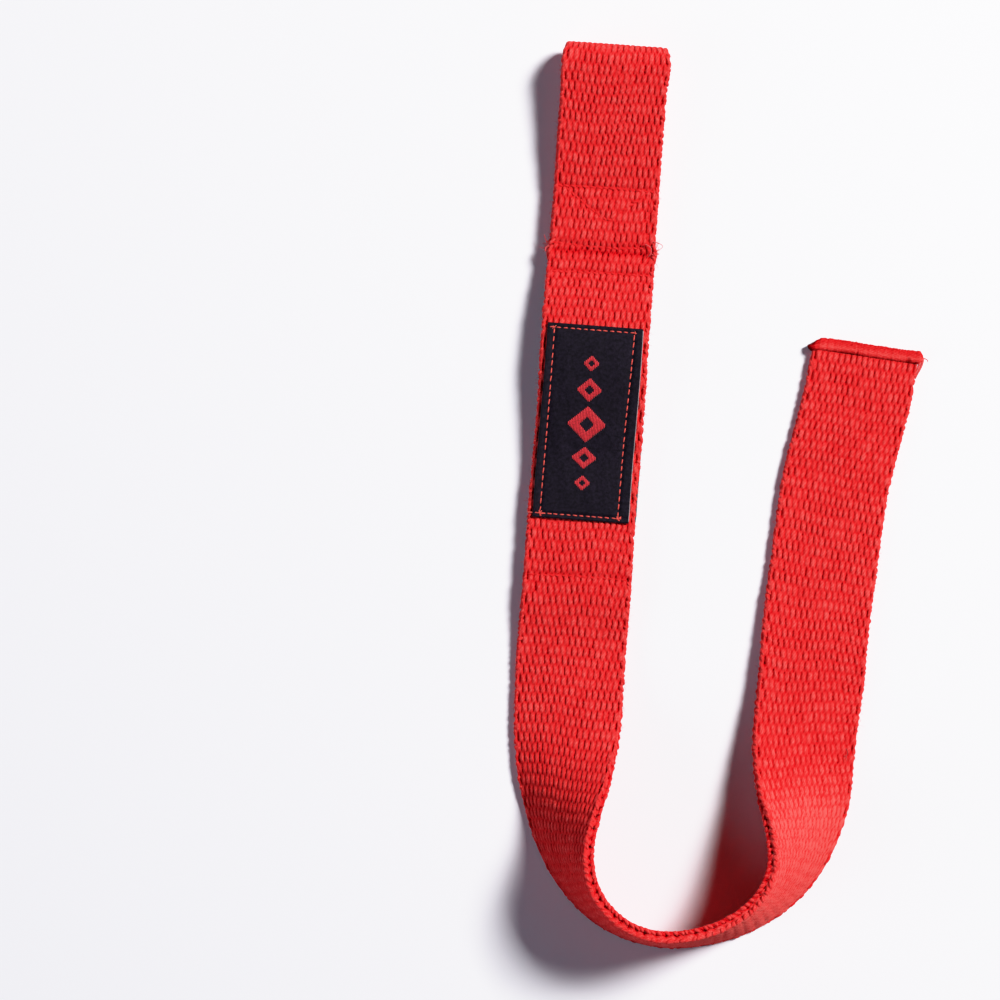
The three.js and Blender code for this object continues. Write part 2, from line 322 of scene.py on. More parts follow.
def put_mesh(name, points, faces, uv=None, values=None, sharp_rings=()):
    """New mesh object at the origin. faces is a list of arrays, each of faces with one number
    of corners. uv and values are per point. Edges within a sharp ring stay crisp, and nothing
    goes below the table."""
    points = np.array(points, np.float32).reshape(-1, 3)
    points[:, 2] = np.maximum(points[:, 2], 0)
    faces = [np.atleast_2d(f) for f in faces]
    sizes = np.concatenate([np.full(len(f), f.shape[1]) for f in faces]).astype(np.int32)
    corners = np.concatenate([f.ravel() for f in faces]).astype(np.int32)
    starts = np.concatenate([[0], np.cumsum(sizes)[:-1]]).astype(np.int32)
    mesh = bpy.data.meshes.new(name)
    mesh.vertices.add(len(points))
    mesh.vertices.foreach_set("co", points.ravel())
    mesh.loops.add(len(corners))
    mesh.loops.foreach_set("vertex_index", corners)
    mesh.polygons.add(len(sizes))
    mesh.polygons.foreach_set("loop_start", starts)
    mesh.polygons.foreach_set("loop_total", sizes)
    mesh.polygons.foreach_set("use_smooth", np.ones(len(sizes), bool))
    mesh.update(calc_edges=True)
    if uv is not None:
        layer = mesh.uv_layers.new(name="StrapUV")
        layer.data.foreach_set("uv", np.asarray(uv, np.float32).reshape(-1, 2)[corners].ravel())
    for key, data in (values or {}).items():
        attribute = mesh.attributes.new(key, "FLOAT", "POINT")
        attribute.data.foreach_set("value", np.asarray(data, np.float32).ravel())
    if len(sharp_rings):
        ends = np.zeros(len(mesh.edges) * 2, np.int32)
        mesh.edges.foreach_get("vertices", ends)
        ends = ends.reshape(-1, 2)
        sharp = np.zeros(len(ends), bool)
        for low, high in sharp_rings:
            sharp |= ((ends >= low) & (ends < high)).all(axis=1)
        mark = mesh.attributes.new("sharp_edge", "BOOLEAN", "EDGE")
        mark.data.foreach_set("value", sharp)
    if mesh.validate(verbose=False):
        raise RuntimeError(name + ": the mesh has faulty faces")
    obj = bpy.data.objects.new(name, mesh)
    bpy.context.scene.collection.objects.link(obj)
    return obj


def put_tube(name, rings, uv=None, values=None):
    """Closed solid from an array of rings, each ring anticlockwise about the way forward."""
    rows, ring = rings.shape[:2]
    last = (rows - 1) * ring
    caps = [np.arange(ring)[::-1], np.arange(last, last + ring)]
    faces = [ring_faces(rows, ring), *caps]
    return put_mesh(name, rings, faces, uv, values, [(0, ring), (last, last + ring)])


def uv_places(across, along):
    """Texture places from the lengths across and along a surface, one for each point."""
    return np.stack(np.broadcast_arrays(across, along), axis=-1) * UV_SCALE


def finish_piece(obj, material, slot, *nodes):
    obj.data.materials.append(material)
    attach(obj, "root")
    if nodes:
        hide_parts(*nodes)


def put_threads(name, bundles, material, slot, sides=6, back=1.0):
    """Many round threads in one piece. Each bundle holds middle lines (threads, points, 3), the upward
    directions beside them, and radii. A ring of the radius is laid round each point, square to the line,
    and both ends are closed. The value crest rises from 0 on the lower side of each thread to back on its
    upper side: for the cotton material this is painted shade on each thread's underside and painted light
    on its top."""
    points, faces, uvs, crests, start = [], [], [], [], 0
    angle = 2 * math.pi * np.arange(sides) / sides
    cap = np.arange(sides)[None, :]
    for line, up, radius in bundles:
        count, steps = line.shape[:2]
        forward = unit(np.gradient(line, axis=1))
        side = unit(np.cross(np.broadcast_to(up, line.shape), forward))[:, :, None, :]
        high = np.cross(forward[:, :, None, :], side)
        radius = np.broadcast_to(radius, (count, steps))[..., None, None]
        turn = np.cos(angle)[:, None] * side + np.sin(angle)[:, None] * high
        points.append((line[:, :, None, :] + radius * turn).reshape(-1, 3))
        walked = np.linalg.norm(np.diff(line, axis=1, prepend=line[:, :1]), axis=-1).cumsum(axis=1)
        walked = walked[:, :, None] + np.arange(count)[:, None, None] * THREAD_OFFSET
        uvs.append(uv_places(radius[..., 0] * angle, walked).reshape(-1, 2))
        crest = back * (0.5 + 0.5 * np.sin(angle))
        crests.append(np.broadcast_to(crest, (count, steps, sides)).ravel())
        first = start + np.arange(count)[:, None, None] * steps * sides
        faces.append((ring_faces(steps, sides)[None] + first).reshape(-1, 4))
        faces.append(first[:, :, 0] + cap[:, ::-1])
        faces.append(first[:, :, 0] + (steps - 1) * sides + cap)
        start += count * steps * sides
    values = {"crest": np.concatenate(crests)}
    obj = put_mesh(name, np.concatenate(points), faces, np.concatenate(uvs), values)
    finish_piece(obj, material, slot)


# Materials


class Nodes:
    """Short way to lay out a material's nodes round one shader."""

    def __init__(self, name, **shader):
        self.material = bpy.data.materials.new(name)
        self.material.use_nodes = True
        self.tree = self.material.node_tree
        self.tree.nodes.clear()
        self.shader = self.add("BsdfPrincipled", **shader)
        self.add("OutputMaterial", Surface=self.shader.outputs["BSDF"])

    def fill(self, socket, value):
        """Links a source to a socket, or gives the socket a plain value or colour."""
        if hasattr(value, "node"):
            self.tree.links.new(value, socket)
        else:
            socket.default_value = (*value, 1.0) if socket.type == "RGBA" else value

    def add(self, kind, **values):
        """New node. Names in lower case are its settings, the others its input sockets."""
        node = self.tree.nodes.new("ShaderNode" + kind)
        for key, value in values.items():
            if key.islower():
                setattr(node, key, value)
            else:
                self.fill(node.inputs[key.replace("_", " ")], value)
        return node

    def place(self):
        return self.add("TexCoord").outputs["Object"]

    def uv(self):
        return self.add("UVMap", uv_map="StrapUV").outputs["UV"]

    def turned(self, vector, degrees, scale=(1.0, 1.0, 1.0)):
        """The vector scaled, and turned about the face's own upright."""
        turn = (0, 0, math.radians(degrees))
        return self.add("Mapping", Vector=vector, Rotation=turn, Scale=scale).outputs["Vector"]

    def texture(self, kind, vector, **values):
        """Pattern of a texture over a vector, from 0 to 1."""
        return self.add("Tex" + kind, Vector=vector, **values).outputs["Fac"]

    def ramp(self, source, *stops):
        """Colour ramp over a source, from stops of a place and a colour."""
        node = self.add("ValToRGB", Fac=source)
        elements = node.color_ramp.elements
        while len(elements) < len(stops):
            elements.new(0.5)
        for element, (place, tone) in zip(elements, stops):
            element.position = place
            element.color = (*tone, 1.0)
        return node.outputs["Color"]

    def fill_enabled(self, node, *values):
        """Fills the node's sockets in use, in turn, and gives its output in use."""
        for socket, value in zip([s for s in node.inputs if s.enabled], values):
            self.fill(socket, value)
        return [s for s in node.outputs if s.enabled][0]

    def multiply(self, base, factor, tint):
        """The base colour multiplied by a tint, by a factor."""
        node = self.add("Mix", data_type="RGBA", blend_type="MULTIPLY")
        return self.fill_enabled(node, factor, base, tint)

    def total(self, constant, *terms):
        """A constant plus the sources, each times its factor."""
        value = constant
        for source, factor in terms:
            value = self.fill_enabled(self.add("Math", operation="MULTIPLY_ADD"), source, factor, value)
        return value

    def finish(self, base, height, strength, distance):
        """Links the base colour, and the height as a bump. Gives the material."""
        bump = self.add("Bump", Height=height, Strength=strength, Distance=distance)
        self.fill(self.shader.inputs["Base Color"], base)
        self.fill(self.shader.inputs["Normal"], bump.outputs["Normal"])
        return self.material


def shaded(tone, factor, more=0.0):
    """A colour times a factor, with a little more of each part."""
    return tuple(min(1.0, factor * part + more) for part in tone)


def cotton_material(colours):
    """Dyed cotton yarn, with the twist of the ply as slanting ridges. Its colour is painted light over
    the crest value: painted shade, deep red, down between the yarns and darkest in the deepest holes, and
    a painted highlight, paler, on the fluffy crests."""
    sheen = {"Sheen_Weight": 0.16, "Sheen_Roughness": 0.3, "Sheen_Tint": (1.0, 0.35, 0.30)}
    n = Nodes("red_cotton_webbing", Roughness=0.9, Specular_IOR_Level=0.0, **sheen)
    crest, tone = (n.add("Attribute", attribute_name=key).outputs["Fac"] for key in ("crest", "tone"))
    uv = n.uv()
    drawn = n.turned(uv, 14, (1.0, 0.5, 1.0))
    fluff = n.texture("Noise", drawn, Scale=15.0, Detail=3.0, Roughness=0.65)
    ply = {"Scale": 4.2, "Distortion": 5.0, "Detail": 2.0, "Detail_Scale": 2.0}
    twist = n.texture("Wave", n.turned(uv, 32), bands_direction="X", **ply)
    grain = n.total(0.0, (twist, 0.3), (fluff, 1.5))
    # the crest, shifted by the grain about 0.90 and by each float's own tone about 0.5
    share, by_grain, by_tone = 0.8, 0.85, 0.14
    terms = (crest, share), (grain, share * by_grain), (tone, share * by_tone)
    raised = n.total(-share * (by_grain * 0.90 + by_tone * 0.5), *terms)
    # painted light: the deep colour and the darker one below it are painted shade in the hollows, the
    # pale colour a painted highlight on the crests
    deep, full, pale = colours.cotton_painted_shade, colours.cotton, colours.cotton_crest_highlight
    middle = tuple(0.45 * a + 0.55 * b for a, b in zip(deep, full))
    dark = shaded(deep, 0.22)
    base = n.ramp(raised, (0.0, dark), (0.14, deep), (0.42, middle), (0.67, full), (0.93, pale))
    patches = n.texture("Noise", n.place(), Scale=55.0, Detail=3.0, Roughness=0.6)
    base = n.multiply(base, 0.7, n.ramp(patches, (0.3, (0.88, 0.80, 0.82)), (0.7, (1.0, 1.0, 1.0))))
    return n.finish(base, grain, 0.5, 0.25 * MM)


def floor_material(colours):
    shader = {"Base_Color": colours.floor, "Roughness": 0.55, "Specular_IOR_Level": 0.2}
    return Nodes("pale_table", **shader).material


def felt_material(colours):
    """Black felt: matted short fibres, a little lighter where they stand up."""
    sheen = {"Sheen_Weight": 0.3, "Sheen_Roughness": 0.6}
    n = Nodes("black_pad_felt", Roughness=0.95, Specular_IOR_Level=0.15, **sheen)
    place = n.place()
    fibres = n.texture("Noise", place, Scale=900.0, Detail=4.0, Roughness=0.75, Distortion=1.5)
    lumps = n.texture("Noise", place, Scale=160.0, Detail=2.0)
    base = n.ramp(fibres, (0.40, colours.felt), (0.75, shaded(colours.felt, 2.6, 0.012)))
    return n.finish(base, n.total(0.0, (fibres, 1.0), (lumps, 1.0)), 0.6, 0.4 * MM)


def label_material(colours):
    """Black satin label: fine ribs across it, small slubs, and a faint sheen."""
    sheen = {"Sheen_Weight": 0.02, "Sheen_Roughness": 0.5}
    n = Nodes("black_label_cloth", Roughness=0.6, Specular_IOR_Level=0.08, **sheen)
    uv, place = n.uv(), n.place()
    ribs = n.texture("Wave", uv, bands_direction="Y", Scale=9.0, Distortion=0.6, Detail=1.0)
    warp = n.texture("Wave", uv, bands_direction="X", Scale=14.0, Distortion=0.8, Detail=1.0)
    slubs = n.texture("Noise", place, Scale=900.0, Detail=3.0, Roughness=0.7)
    clouds = n.texture("Noise", place, Scale=90.0, Detail=3.0)
    dark, light = shaded(colours.label, 0.55), shaded(colours.label, 1.9, 0.006)
    base = n.ramp(slubs, (0.35, dark), (0.72, light))
    base = n.multiply(base, 0.5, n.ramp(clouds, (0.3, (0.6, 0.6, 0.62)), (0.7, (1.0, 1.0, 1.0))))
    return n.finish(base, n.total(0.0, (ribs, 0.8), (warp, 0.5), (slubs, 1.0)), 0.45, 0.15 * MM)


def thread_material(name, tone, roughness):
    """Spun thread: plied stripes by noise along it, with a soft sheen."""
    n = Nodes(name, Roughness=roughness, Specular_IOR_Level=0.3, Sheen_Weight=0.2)
    ply = n.texture("Noise", n.place(), Scale=2200.0, Detail=2.0, Roughness=0.6)
    base = n.ramp(ply, (0.35, shaded(tone, 0.62)), (0.65, shaded(tone, 1.12, 0.01)))
    return n.finish(base, ply, 0.4, 0.1 * MM)


# The webbing


def edge_outline(rounding, sizes):
    """Across, high and outward direction on the right edge's round, from the distance round it."""
    tall, flat = sizes.thickness / 2, sizes.width / 2 - EDGE_ROUNDING
    quarter = math.pi / 2 * (EDGE_ROUNDING + tall) / 2
    angle = np.clip(rounding / quarter, -1, 1) * math.pi / 2
    past = np.clip(np.abs(rounding) - quarter, 0, None)
    across = flat + EDGE_ROUNDING * np.cos(angle) - past
    outward = unit(np.stack([np.cos(angle) / EDGE_ROUNDING, np.sin(angle) / tall], axis=-1))
    return across, tall * np.sin(angle), outward


def webbing_section(sizes):
    """Outline of the webbing over its crests, anticlockwise: upper face, left edge, lower face,
    right edge. Returns across, high, the outward direction, and the distance round the edge
    from the edge's middle, positive on the upper side."""
    tall, flat = sizes.thickness / 2, sizes.width / 2 - EDGE_ROUNDING
    quarter = math.pi / 2 * (EDGE_ROUNDING + tall) / 2
    last = int(round(flat / sizes.end_pitch * 2)) / 2
    ends = (np.arange(-20, 20)[:, None] + np.array([0.0, 0.22, 0.5, 0.78])).ravel()
    ends = np.unique(np.concatenate([ends[(ends > -last) & (ends < last)], [-last, last]]))
    face = ends * sizes.end_pitch
    inwards = quarter + flat - np.abs(face)
    edge = np.linspace(quarter, -quarter, 13)[1:-1]
    bend, rise, slope = edge_outline(edge, sizes)
    top, up = np.full(len(face), tall), np.tile([0.0, 1.0], (len(face), 1))
    across = np.concatenate([face[::-1], -bend, face, bend[::-1]])
    high = np.concatenate([top, rise, -top, rise[::-1]])
    outward = np.concatenate([up, slope * [-1, 1], -up, slope[::-1]])
    rounding = np.concatenate([inwards[::-1], edge, -inwards, edge[::-1]])
    return across, high, outward, rounding


def weave_depth(rows, ends, below, sizes):
    """How far the plain weave lies below its crests, and each float's own tone from 0 to 1.

    Warp yarn i rises and sinks as the cosine of half a turn per row, neighbours in turn.
    Its back is a half ellipse across it. The surface is the highest of the three nearest
    yarns. rows and ends are counted in rows and yarns; below is True on the lower face,
    where the yarns that have sunk show.
    """
    rng = np.random.default_rng(14)
    heights, widths, offsets = (rng.normal(0, spread, (256, 64)) for spread in (0.13, 0.04, 0.05))
    tones = rng.random((256, 64))
    surface = np.full(np.broadcast(rows, ends).shape, NO_YARN)
    tone = np.zeros(surface.shape)
    for step in (-1, 0, 1):
        i = np.round(ends) + step
        turns = (rows + i + np.where(below, 1.0, 0.0)) / 2
        wave = np.cos(2 * math.pi * turns)
        rise = np.where(wave > 0, 0.9 * np.abs(wave) ** 0.6, -4.0 * np.abs(wave))
        index = (np.round(turns).astype(int) % 256, (i.astype(int) + 32) % 64)
        rise = rise + heights[index] * np.clip(wave, 0, 1)
        width = 0.92 + 0.05 * wave + widths[index]
        away = np.abs(ends - i - offsets[index]) / width
        back = np.sqrt(np.clip(1 - away**2, 0, 1))
        here = rise * sizes.float_rise + back * sizes.yarn_bulge
        here = np.where((away < 1) & (np.abs(i) < 17.5), here, NO_YARN)
        tone = np.where(here > surface, tones[index], tone)
        surface = np.maximum(surface, here)
    crest = 0.9 * sizes.float_rise + sizes.yarn_bulge
    return np.clip(crest - surface, -0.15 * MM, 1.10 * MM), tone


def edge_holes(rows, rounding, right):
    """Small hollows between the edge's lobes, about one a row: one line of them round the
    edge's middle, and on each face a broken line a little in from the edge, shallower on the
    left."""
    rng = np.random.default_rng(19)
    depth = np.zeros(np.broadcast(rows, rounding).shape)
    lines = ((0.0, 0.9, (0.6, 1.0)), (3.35, 0.55, (-0.7, 0.85)), (-3.4, 0.55, (-0.7, 0.8)))
    for at, wide, share in lines:
        size = rng.uniform(*share, (256, 2))
        size[:, 0] *= 0.45 if at else 1.0
        moved = rng.normal(0, 0.10, (256, 2))
        index = np.round(rows).astype(int) % 256
        part = (rows - np.round(rows) - moved[index, right]) / 0.20
        away = (rounding / MM - at - moved[index, 1 - right]) / wide
        depth = np.maximum(depth, size[index, right] * np.exp(-(part**2) - away**2))
    return 1.05 * MM * np.clip(depth, 0, 1)


def seam_lines():
    """Seams through the webbing as (places, depth): distance from the fold and across."""
    seams = [
        ([(42.8, -17.5), (42.6, 0.0), (42.9, 17.0)], 0.42),
        ([(43.2, -14.5), (50.0, -5.5), (54.2, 1.5), (50.5, 6.0), (43.0, 15.0)], 0.50),
        ([(43.0, 15.2), (53.0, 15.4), (62.8, 15.6)], 0.45),
        ([(62.7, -18.0), (63.4, -6.0), (63.5, 5.0), (62.6, 17.5)], 1.0),
        ([(73.2, -17.5), (72.7, 0.0), (72.5, 17.5)], 0.55),
        ([(179.6, -17.5), (179.2, 0.0), (179.4, 17.5)], 0.55),
    ]
    return [(np.array(places) * MM, depth * MM) for places, depth in seams]


def press_depth(distance, across, below):
    """How far seams pull the webbing in: a bell-shaped groove along each straight part of a
    seam, from the distance to its nearest point, and the step past the loop's cut end."""
    press = np.zeros(np.broadcast(distance, across).shape)
    for places, depth in seam_lines():
        for a, b in zip(places[:-1], places[1:]):
            run = b - a
            share = ((distance - a[0]) * run[0] + (across - a[1]) * run[1]) / (run @ run)
            share = np.clip(share, 0, 1)
            away = np.hypot(distance - a[0] - share * run[0], across - a[1] - share * run[1])
            press = np.maximum(press, depth * bell(away, 0, 0.9 * MM))
    step = 0.95 * MM * bell(distance, 65.4 * MM, 1.5 * MM)
    return np.where(below, 0.6 * press, np.maximum(press, step))


def along_of_rows(rows, sizes):
    """Place along the strap of a row of the weave: an even pitch, drifting a little."""
    return sizes.row_pitch * (rows + 0.35 * drift(rows, 0, 24, 11))


def narrowing(along, path):
    """Share of the full width: the loop's two layers are drawn in a little, more so round the
    fold, and the webbing spreads just past the fold, past the loop's seam and where it starts
    to turn up."""
    arc = (along - path.laid_start) / MM
    drawn = 1.01 - 0.026 * (1 - ease((arc - 59) / 6))
    for place, reach, spread in ((-9, 3.5, -0.040), (1, 5.5, 0.034), (65, 2.4, 0.022), (205, 32, 0.018)):
        drawn = drawn + spread * bell(arc, place, reach)
    return drawn


def sideways(rows):
    """How far the whole webbing wanders to one side: a little all along, to the right at the
    fold, and to the left and back again on the free end's leg."""
    left = (END_ROW - rows) * ROW_PITCH_MM
    wander = 0.22 * drift(rows * ROW_PITCH_MM, 0, 55, 18) + 0.4 * bell(rows, 24, 6)
    return (wander + 2.3 * bell(left, 42, 32) - 1.5 * bell(left, 117, 20)) * MM


def standing(along, path):
    """How far the webbing stands up on its edge, from 0 where it is flat to 1."""
    tilt = np.abs(path.at(along.ravel())[2][:, 2]).reshape(along.shape)
    return ease((tilt - 0.25) / 0.4)


def make_webbing(name, path, first_row, last_row, material):
    """One stretch of the webbing, between two rows of its weave.

    The outline is carried along the strap's path, and every point is moved inwards by the
    depth of the weave, and of the seams that draw the webbing in."""
    sizes = path.sizes
    across, high, outward, rounding = webbing_section(sizes)
    row = (first_row + ROW_STEP * np.arange(round((last_row - first_row) / ROW_STEP) + 1))[:, None]
    along = np.clip(along_of_rows(row, sizes), 0, path.length)
    ends, below = across / sizes.end_pitch, high < 0
    wavy = row + 0.15 * drift(row, ends, 26, 12) + 0.07 * drift(row, ends, 7, 13)
    weave, tone = weave_depth(wavy, ends, below, sizes)
    edge = ease((3.0 * MM - np.abs(rounding)) / (0.8 * MM))
    arc = along - path.laid_start
    stand = standing(along, path)
    far = ease((arc - 285 * MM) / (60 * MM))
    weave = weave * (1 - 0.5 * bell(arc, -9 * MM, 4.5 * MM)) * (1 - stand * (0.1 + 0.35 * far))
    holes = edge_holes(row + 0.3, rounding, (across > 0).astype(int)) * (0.4 + 0.6 * stand)
    press = press_depth(arc, across, below)
    braid = (0.2 + 0.6 * bell(rounding, 0, 1.1 * MM)) * MM
    depth = weave * (1 - edge) + braid * edge + holes + press
    # The crest value paints light for the material: painted shade in the weave's hollows, a little darker
    # on the edge's round, and painted shade in the edge holes, the seams' grooves and the step past the
    # loop's cut end.
    crest = 1 - np.clip(1.25 * weave / MM, 0, 0.80) * (1 - edge) - 0.12 * edge
    crest = crest - (0.85 * holes + 0.3 * press) / MM
    # Where the webbing stands up: painted shade on its lower face, and on its upper face a little painted
    # shade at first, then a painted highlight further along the bend, where the key light falls on it.
    crest = crest + stand * np.where(below, -0.5, 0.32 * far - 0.12)
    lean = 0.45 * drift(row, ends, 45, 16) - 0.05
    shift = (wavy % 1.0 - 0.5) * lean * np.clip((17 - np.abs(ends)) / 3, 0, 1)
    shift = (shift + 0.10 * drift(row * ROW_PITCH_MM, ends, 14, 17)) * MM
    x = (across + shift) * narrowing(along, path) - depth * outward[:, 0] + sideways(row)
    bead = ease((3.6 * MM - np.abs(rounding)) / (1.6 * MM)) * np.clip(np.abs(high) / (1.2 * MM), 0, 1)
    z = high - depth * outward[:, 1] + BEAD_RISE * np.sign(high) * bead * stand
    girth = np.cumsum(np.hypot(np.diff(across, prepend=across[0]), np.diff(high, prepend=high[0])))
    values = {"crest": crest, "tone": tone}
    obj = put_tube(name, path.place(along, x, z), uv_places(girth, along), values)
    finish_piece(obj, material, "webbing_cotton", "webbing")


def braid_lobes(path, side, face, rng):
    """Lobes of one edge's braid on one face: short spindles of yarn, unevenly spaced, each from
    the face over the edge's round to the hollows along the edge's middle."""
    rows_in_all = path.length / path.sizes.row_pitch
    rows = np.cumsum(rng.uniform(0.50, 0.86, int(rows_in_all / 0.68)))
    rows = rows[rows < rows_in_all - 0.5, None]

    def chance(spread):
        return rng.normal(0, spread, rows.shape)

    share = np.linspace(0, 1, 8)
    row = rows + (0.62 + chance(0.22)) * (share - 0.5)
    row = row + 0.12 * np.sin(math.pi * share) * chance(1)
    start = 2.7 + chance(0.3)
    rounding = face * (start - (start - 0.2) * share) * MM
    across, high, outward = edge_outline(rounding, path.sizes)
    swell = np.sin(math.pi * np.clip(share, 0.03, 0.97)) ** 0.38
    size = np.clip(1.0 + chance(0.10), 0.7, 1.25)
    deep = (0.86 - 0.18 * swell + chance(0.05)) * MM
    along = np.clip(along_of_rows(row, path.sizes), 0.3 * MM, path.length - 0.3 * MM)
    x = side * (across - deep * outward[..., 0]) * narrowing(along, path) + sideways(row)
    z = high - deep * outward[..., 1] + BEAD_RISE * np.sign(high) * standing(along, path)
    line = path.place(along, x, z)
    above = path.place(along, x + side * outward[..., 0] * MM, z + outward[..., 1] * MM)
    return line, unit(above - line), 0.72 * MM * swell * size


class STRAP_OT_webbing(bpy.types.Operator):
    """Weave the strap's webbing, from the cut end under the loop to the free end"""

    bl_idname = "strap.webbing"
    bl_label = "Webbing"

    def execute(self, context):
        path = strap_path(context)
        material = cotton_material(context.scene.strap_colours)
        tail_rows = path.length / path.sizes.row_pitch - TAIL_ROW
        last = TAIL_ROW + ROW_STEP * math.floor(tail_rows / ROW_STEP + 1)
        make_webbing("webbing_loop", path, FIRST_ROW, LEG_ROW, material)
        make_webbing("webbing_leg", path, LEG_ROW, TAIL_ROW, material)
        make_webbing("webbing_tail", path, TAIL_ROW, last, material)
        rng = np.random.default_rng(21)
        lobes = [braid_lobes(path, side, face, rng) for side in (1, -1) for face in (1, -1)]
        # the lobes' crest value gives them painted shade on their lower sides and painted light on top
        put_threads("webbing_edge_braid", lobes, material, "webbing_cotton", 7)
        return {"FINISHED"}


# The wrist pad


def rounded_slab(half_width, base, top, rounding, face_count, edge_count):
    """Across and high of a flat bar's outline: upper face from right to left, rounded left
    edge, lower face, rounded right edge."""
    face = np.linspace(half_width - rounding, rounding - half_width, face_count)
    angle = np.linspace(90, 270, edge_count + 2)[1:-1] * math.pi / 180
    middle, tall = (top + base) / 2, (top - base) / 2
    left = np.stack([rounding * np.cos(angle) - half_width + rounding, tall * np.sin(angle) + middle], 1)
    upper = np.stack([face, np.full(face_count, top)], 1)
    lower = np.stack([face[::-1], np.full(face_count, base)], 1)
    return np.concatenate([upper, left, lower, [0, 2 * middle] - left]).T


def make_pad(path, material):
    """The felt pad: a slab from the table up to the webbing, thin where it is sewn, with its
    right edge peeking out beside the label."""
    sizes = path.sizes
    top = -sizes.thickness / 2 - 0.05 * MM
    base = -sizes.thickness / 2 - LAYER_GAP - PAD_THICKNESS
    across, high = rounded_slab(sizes.pad_width / 2 - 0.5 * MM, base, top, 1.1 * MM, 60, 9)
    run = sizes.pad_length * (1 - np.cos(np.linspace(0, math.pi, 260)))[:, None] / 2
    distance = PAD_START + run
    end = np.minimum(run, sizes.pad_length - run)
    thin = np.sqrt(np.clip(end / (1.0 * MM), 0.02, 1)) * 0.35 + 0.65 * ease(end / (9 * MM))
    thin = np.maximum(thin, 0.25 * ease(end / (0.4 * MM)) + 0.05)
    sewn = np.minimum(*(np.abs(distance - seam) for seam in PAD_SEAMS))
    thin = thin * (1 - 0.45 * bell(sewn, 0, 1.1 * MM))
    high = top + (high - top) * thin
    high = high + 0.10 * MM * drift(distance, across, 9 * MM, 31) * (high < top - 0.3 * MM)
    wide = 1 + 0.006 * drift(distance, 0, 20 * MM, 32)
    peek = ease((distance - 120 * MM) / (14 * MM)) * ease((168 * MM - distance) / (12 * MM))
    shift = (1.15 * peek - 0.15) * MM
    pad = put_tube("wrist_pad_felt", path.place(distance + path.laid_start, across * wide + shift, high))
    finish_piece(pad, material, "pad_felt", "wrist_pad")


class STRAP_OT_wrist_pad(bpy.types.Operator):
    """Lay the felt wrist pad under the webbing, pinched where it is sewn at both ends"""

    bl_idname = "strap.wrist_pad"
    bl_label = "Wrist pad"

    def execute(self, context):
        make_pad(strap_path(context), felt_material(context.scene.strap_colours))
        return {"FINISHED"}


# The label


def label_edges(share, sizes):
    """Left and right edge of the label across the strap, at shares 0 to 1 of its length."""
    left = -0.5 * sizes.label_width - 0.5 * MM + 0.15 * MM * np.sin(5.1 * share + 0.6)
    right = 0.5 * sizes.label_width - 0.5 * MM + 0.25 * MM * share + 0.1 * MM * np.sin(6.0 * share)
    return left, right


def label_stitch_lines(share):
    """Left and right line of running stitch across the strap, at shares of its length."""
    left = -14.7 * MM + 0.12 * MM * np.sin(4.0 * share)
    right = 13.1 * MM - 0.8 * MM * share + 0.12 * MM * np.sin(7.0 * share + 1)
    return left, right


def label_height(distance, across, sizes):
    """Height of the label's upper face over the webbing's middle: a thin patch that puffs up
    between its lines of stitch and along its folded hem, and is pinched at each stitch."""
    run = distance - LABEL_START
    left, right = label_stitch_lines(np.clip(run / sizes.label_length, 0, 1))
    gaps = [across - left, right - across, run - HEM_START, sizes.label_length - HEM_END - run]
    gaps = np.stack(np.broadcast_arrays(*gaps))
    inside = gaps.min(axis=0)
    dimple = 0.75 + 0.25 * np.cos(2 * math.pi * run / LABEL_STITCH)
    pinch = 0.55 * MM * dimple * bell(np.abs(gaps).min(axis=0), 0, 0.8 * MM)
    swell = 0.28 * MM * ease(inside / (6 * MM))
    hem = 0.18 * MM * ease(-inside / (1.2 * MM))
    ripple = 0.07 * MM * drift(run, across * 2.2, 13 * MM, 41)
    return sizes.thickness / 2 + 1.05 * MM + swell + hem + ripple - pinch


def label_motif_bars():
    """Generic motif of the label: a row of five lozenges in graded sizes, woven of short bars
    laid along the label. Returns the bars' start, end and place across, in mm."""
    starts, ends, rows = [], [], []
    for middle, half in ((13.0, 2.6), (22.0, 4.2), (34.0, 6.6), (46.0, 4.2), (55.0, 2.6)):
        across = np.arange(-half + 0.25, half, 0.52)
        reach = (half - np.abs(across)) * 0.92 + 0.25
        hollow = np.abs(across) < 0.34 * half
        gap = np.where(hollow, 0.34 * half - np.abs(across) + 0.35, 0.0)
        starts += [middle - reach, (middle + gap)[hollow]]
        ends += [np.where(hollow, middle - gap, middle + reach), (middle + reach)[hollow]]
        rows += [across, across[hollow]]
    return np.concatenate(starts), np.concatenate(ends), np.concatenate(rows)


def surface_thread(path, start, end, height, steps, dive, lift):
    """Middle lines of stitches that lie on a surface: each runs straight from start to end,
    given as (distance, across), dives at both ends and stands proud between them."""
    share = np.linspace(0, 1, steps)[None, :]
    distance = start[:, :1] + (end[:, :1] - start[:, :1]) * share
    across = start[:, 1:] + (end[:, 1:] - start[:, 1:]) * share
    arch = np.clip(np.sin(math.pi * share), 0, 1) ** 0.45
    high = height(distance, across, path.sizes) - dive * (1 - arch) + lift * arch
    line = path.place(distance + path.laid_start, across, high)
    above = path.place(distance + path.laid_start, across, high + 1 * MM)
    return line, unit(above - line)


